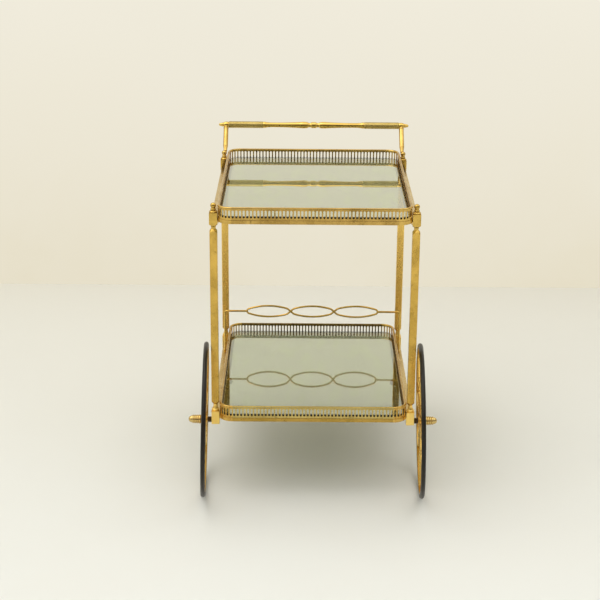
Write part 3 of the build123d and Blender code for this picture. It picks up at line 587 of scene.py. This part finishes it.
def wall_look(name):
    """Paint that glows evenly where it is seen or mirrored, and vanishes from behind."""
    look = stage_look(name, wall_low, wall_high, "Z", *wall_fade)
    glow = look.nodes.new("ShaderNodeEmission")
    look.links.new(look.shader.inputs["Base Color"].links[0].from_socket, glow.inputs["Color"])
    rays = look.nodes.new("ShaderNodeLightPath").outputs
    seen = look.compute("MAXIMUM", rays["Is Camera Ray"], rays["Is Glossy Ray"])
    seen = look.compute("MAXIMUM", seen, rays["Is Transmission Ray"])
    front = look.blend(seen, look.shader.outputs["BSDF"], glow.outputs["Emission"])
    nothing = look.nodes.new("ShaderNodeBsdfTransparent").outputs["BSDF"]
    from_behind = look.nodes.new("ShaderNodeNewGeometry").outputs["Backfacing"]
    look.links.new(look.blend(from_behind, front, nothing), look.output.inputs["Surface"])
    return look


flat_sheet("floor", [
    (-stage_half_width, -stage_half_width, 0), (stage_half_width, -stage_half_width, 0),
    (stage_half_width, stage_half_width, 0), (-stage_half_width, stage_half_width, 0),
], stage_look("floor_pale", floor_near, floor_far, "Y", *floor_fade))
flat_sheet("wall", [
    (-stage_half_width, wall_y, 0), (stage_half_width, wall_y, 0),
    (stage_half_width, wall_y, wall_height), (-stage_half_width, wall_y, wall_height),
], wall_look("wall_cream"))


# Light: three soft lamps above and a low one at the front, which no surface mirrors

lamp_white = (1.0, 0.99, 0.97)
lamp_warm = (1.0, 0.98, 0.93)
cart_middle = (0.0, 0.05, 0.35)
cart_foot = (0.0, 0.0, 0.1)


def area_lamp(name, place, target, size, power, colour=lamp_white):
    data = bpy.data.lights.new(name, "AREA")
    data.shape = "SQUARE"
    data.size = size
    data.energy = power
    data.color = colour
    lamp = bpy.data.objects.new(name, data)
    lamp.location = place
    lamp.rotation_euler = (Vector(target) - Vector(place)).to_track_quat("-Z", "Y").to_euler()
    bpy.context.scene.collection.objects.link(lamp)
    return lamp


area_lamp("key", (-1.2, 0.0, 2.8), cart_middle, size=2.0, power=14.0)
area_lamp("fill", (1.8, -0.2, 2.6), cart_middle, size=1.6, power=7.0)
area_lamp("top", (0.0, 0.5, 3.4), cart_middle, size=2.4, power=7.0)
low_lamp = area_lamp("low", (0.0, -2.4, 0.9), cart_foot, size=1.6, power=8.0, colour=lamp_warm)
low_lamp.visible_glossy = False


# Room: bright above, dark behind the camera and darker on the right

world = bpy.data.worlds.new("room")
world.use_nodes = True
bpy.context.scene.world = world
nodes = world.node_tree.nodes
links = world.node_tree.links
direction = nodes.new("ShaderNodeSeparateXYZ")
links.new(nodes.new("ShaderNodeTexCoord").outputs["Generated"], direction.inputs["Vector"])


def room_part(axis, low, high, light_low, light_high):
    """Share of the light by direction, smooth between low and high."""
    node = nodes.new("ShaderNodeMapRange")
    node.interpolation_type = "SMOOTHSTEP"
    node.inputs["From Min"].default_value = low
    node.inputs["From Max"].default_value = high
    node.inputs["To Min"].default_value = light_low
    node.inputs["To Max"].default_value = light_high
    links.new(direction.outputs[axis], node.inputs["Value"])
    return node.outputs["Result"]


def room_compute(operation, first, second):
    node = nodes.new("ShaderNodeMath")
    node.operation = operation
    links.new(first, node.inputs[0])
    links.new(second, node.inputs[1])
    return node.outputs["Value"]


ceiling = room_part("Z", low=0.0, high=0.55, light_low=0.45, light_high=1.40)
front = room_part("Y", low=-0.97, high=-0.6, light_low=0.15, light_high=1.0)
right_side = room_part("X", low=0.1, high=0.9, light_low=1.0, light_high=0.35)
room = nodes["Background"]
room.inputs["Color"].default_value = (1.0, 0.99, 0.965, 1.0)
room_light = room_compute("MULTIPLY", room_compute("MULTIPLY", ceiling, front), right_side)
links.new(room_light, room.inputs["Strength"])

# Seen directly or through glass, the room is a plain pale backdrop
backdrop = nodes.new("ShaderNodeBackground")
backdrop.inputs["Color"].default_value = (0.86, 0.83, 0.74, 1.0)
rays = nodes.new("ShaderNodeLightPath").outputs
seen = room_compute("MAXIMUM", rays["Is Camera Ray"], rays["Is Transmission Ray"])
mixed = nodes.new("ShaderNodeMixShader")
links.new(seen, mixed.inputs["Fac"])
links.new(room.outputs["Background"], mixed.inputs[1])
links.new(backdrop.outputs["Background"], mixed.inputs[2])
links.new(mixed.outputs["Shader"], nodes["World Output"].inputs["Surface"])


# Camera, from the fit to the photograph

camera_place = Vector((-0.0321, -3.282 + middle_y, 1.512))
camera_yaw = radians(0.03)
camera_pitch = radians(19.15)
camera_roll = radians(0.44)
focal_pixels = 1489.9
frame_pixels = 600.0
sensor_width = 36.0

forward = Vector((
    sin(camera_yaw) * cos(camera_pitch), cos(camera_yaw) * cos(camera_pitch), -sin(camera_pitch)
))
level_right = Vector((cos(camera_yaw), -sin(camera_yaw), 0.0))
level_up = level_right.cross(forward)
right = cos(camera_roll) * level_right + sin(camera_roll) * level_up
up = -sin(camera_roll) * level_right + cos(camera_roll) * level_up
camera_turn = Matrix((right, up, -forward)).transposed().to_4x4()
camera_data = bpy.data.cameras.new("camera")
camera_data.sensor_width = sensor_width
camera_data.lens = focal_pixels * sensor_width / frame_pixels
camera = bpy.data.objects.new("camera", camera_data)
camera.matrix_world = Matrix.Translation(camera_place) @ camera_turn
bpy.context.scene.collection.objects.link(camera)
bpy.context.scene.camera = camera
bpy.context.scene.view_settings.view_transform = "Standard"
